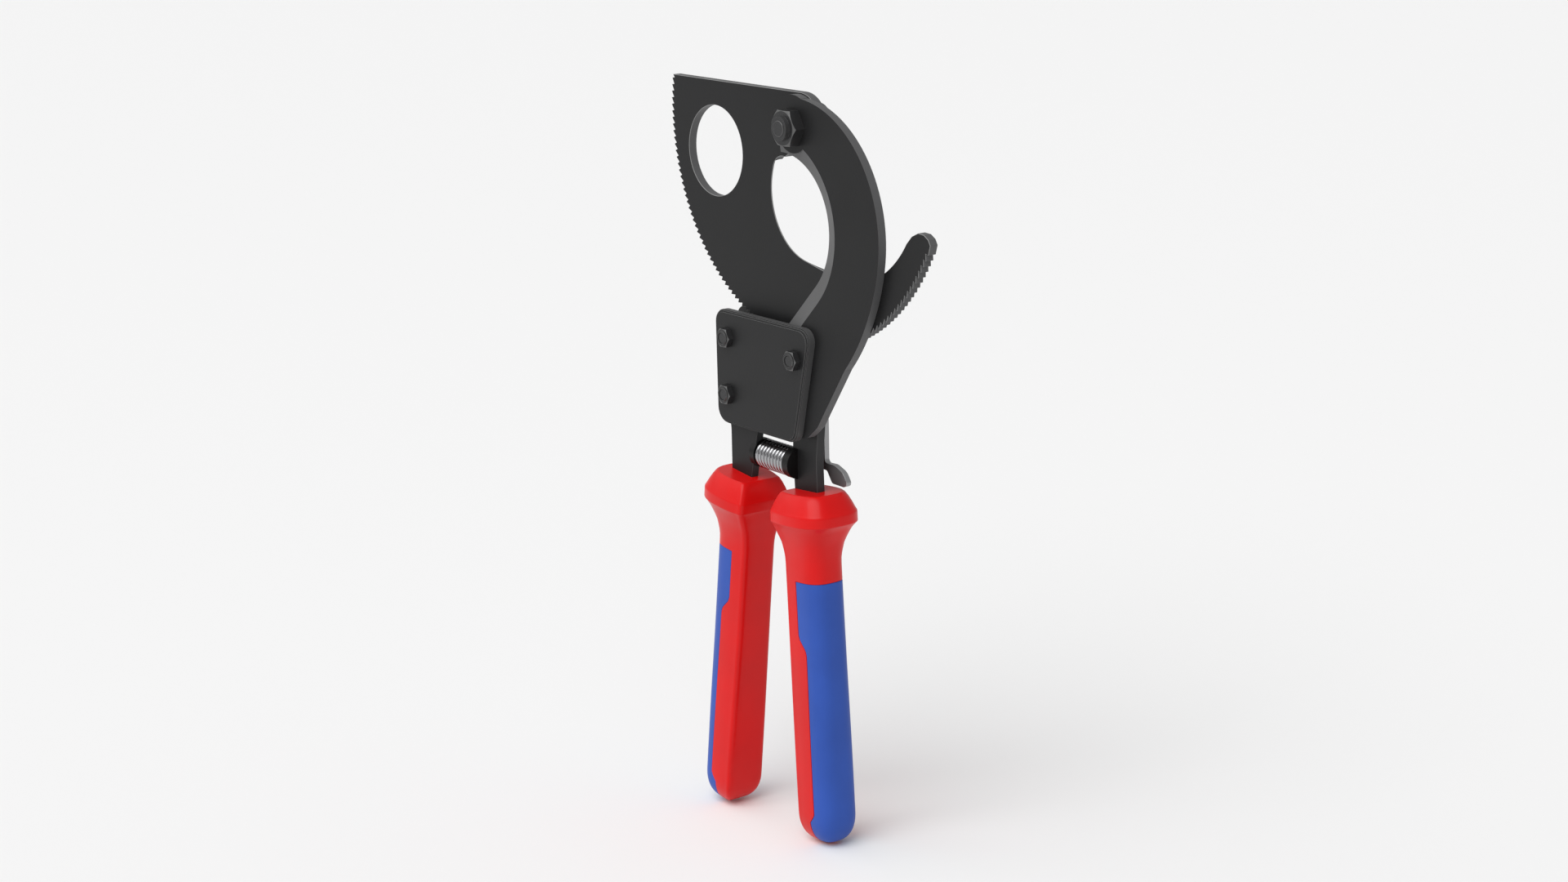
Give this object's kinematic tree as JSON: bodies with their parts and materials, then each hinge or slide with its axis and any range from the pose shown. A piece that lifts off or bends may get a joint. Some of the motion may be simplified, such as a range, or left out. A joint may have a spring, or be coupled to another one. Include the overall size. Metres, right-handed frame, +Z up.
{
  "type": "ratchet cable cutter",
  "caption": "Hand-held ratchet cable cutter: toothed swinging sickle blade with a round hole, fixed crescent blade, bolted pawl housing, return spring and red grips with blue inlays.",
  "frame": {"origin": "on the blade pivot's axis, in the shear plane between the two blades", "axes": "+Z up the tool from the grips to the blades, +X from the hanging hole's side towards the blade's tail, -Y the front, where the pivot nut is; Y is the pivot's axis"},
  "size_m": [0.1567, 0.0308, 0.2895],
  "materials": {
    "blade_black": "satin near-black coating over steel, cutting edges bare",
    "cover_black": "satin near-black coating",
    "fastener_dark": "dark burnished steel",
    "steel_bare": "bare turned steel",
    "spring_bright": "bright plated wire",
    "lever_bright": "bright plated sheet",
    "seat_dark": "dark blackened steel",
    "grip_red": "glossy soft-touch red grip",
    "grip_blue": "smooth blue inlay"
  },
  "bodies": {
    "frame": {"fixed_blade": "blade_black", "pivot_bolt": "fastener_dark", "pivot_bush": "steel_bare", "pivot_washer": "fastener_dark", "pivot_nut": "fastener_dark", "front_cover": "cover_black", "back_cover": "cover_black", "cover_bolts": "fastener_dark", "cover_nuts": "fastener_dark", "cover_spacers": "steel_bare", "lever_bush": "steel_bare", "fixed_tang": "cover_black", "tang_rivets": "fastener_dark", "fixed_grip": "grip_red", "fixed_grip_inlay": "grip_blue", "holding_pawl_pin": "steel_bare", "holding_pawl_spring": "spring_bright", "return_spring": "spring_bright", "fixed_spring_seat": "seat_dark"},
    "blade": {"moving_blade": "blade_black"},
    "drive_handle": {"drive_lever": "cover_black", "drive_grip": "grip_red", "drive_grip_inlay": "grip_blue", "drive_pawl_pin": "steel_bare", "drive_pawl_spring": "spring_bright", "drive_spring_seat": "seat_dark"},
    "drive_pawl": {"drive_pawl": "fastener_dark"},
    "holding_pawl": {"holding_pawl": "fastener_dark"},
    "release_lever": {"release_lever": "lever_bright"}
  },
  "joints": [
    {"name": "blade_swing", "type": "hinge", "parent": "frame", "child": "blade", "pos_m": [0, 0, 0], "axis": [0, -1, 0], "range_deg": [-135, 70]},
    {"name": "drive_handle_swing", "type": "hinge", "parent": "frame", "child": "drive_handle", "pos_m": [-0.038, 0, -0.0842], "axis": [0, -1, 0], "range_deg": [0, 8], "stiffness_Nm_per_rad": 4, "springref_deg": -17.19, "deforming": ["return_spring"]},
    {"name": "drive_pawl_swing", "type": "hinge", "parent": "drive_handle", "child": "drive_pawl", "pos_m": [-0.027, 0, -0.098], "axis": [0, -1, 0], "range_deg": [-16.8, 0]},
    {"name": "release_lever_swing", "type": "hinge", "parent": "frame", "child": "release_lever", "pos_m": [-0.0115, 0, -0.0975], "axis": [0, 1, 0], "range_deg": [0, 3.5], "stiffness_Nm_per_rad": 0.5, "springref_deg": -17.19},
    {"name": "holding_pawl_swing", "type": "hinge", "parent": "frame", "child": "holding_pawl", "pos_m": [-0.0115, 0, -0.0975], "axis": [0, 1, 0], "range_deg": [0, 3.5]}
  ],
  "couplings": [
    {"joint": "drive_pawl_swing", "follows": "drive_handle_swing", "ratio": -2.1},
    {"joint": "holding_pawl_swing", "follows": "release_lever_swing", "ratio": 1}
  ]
}
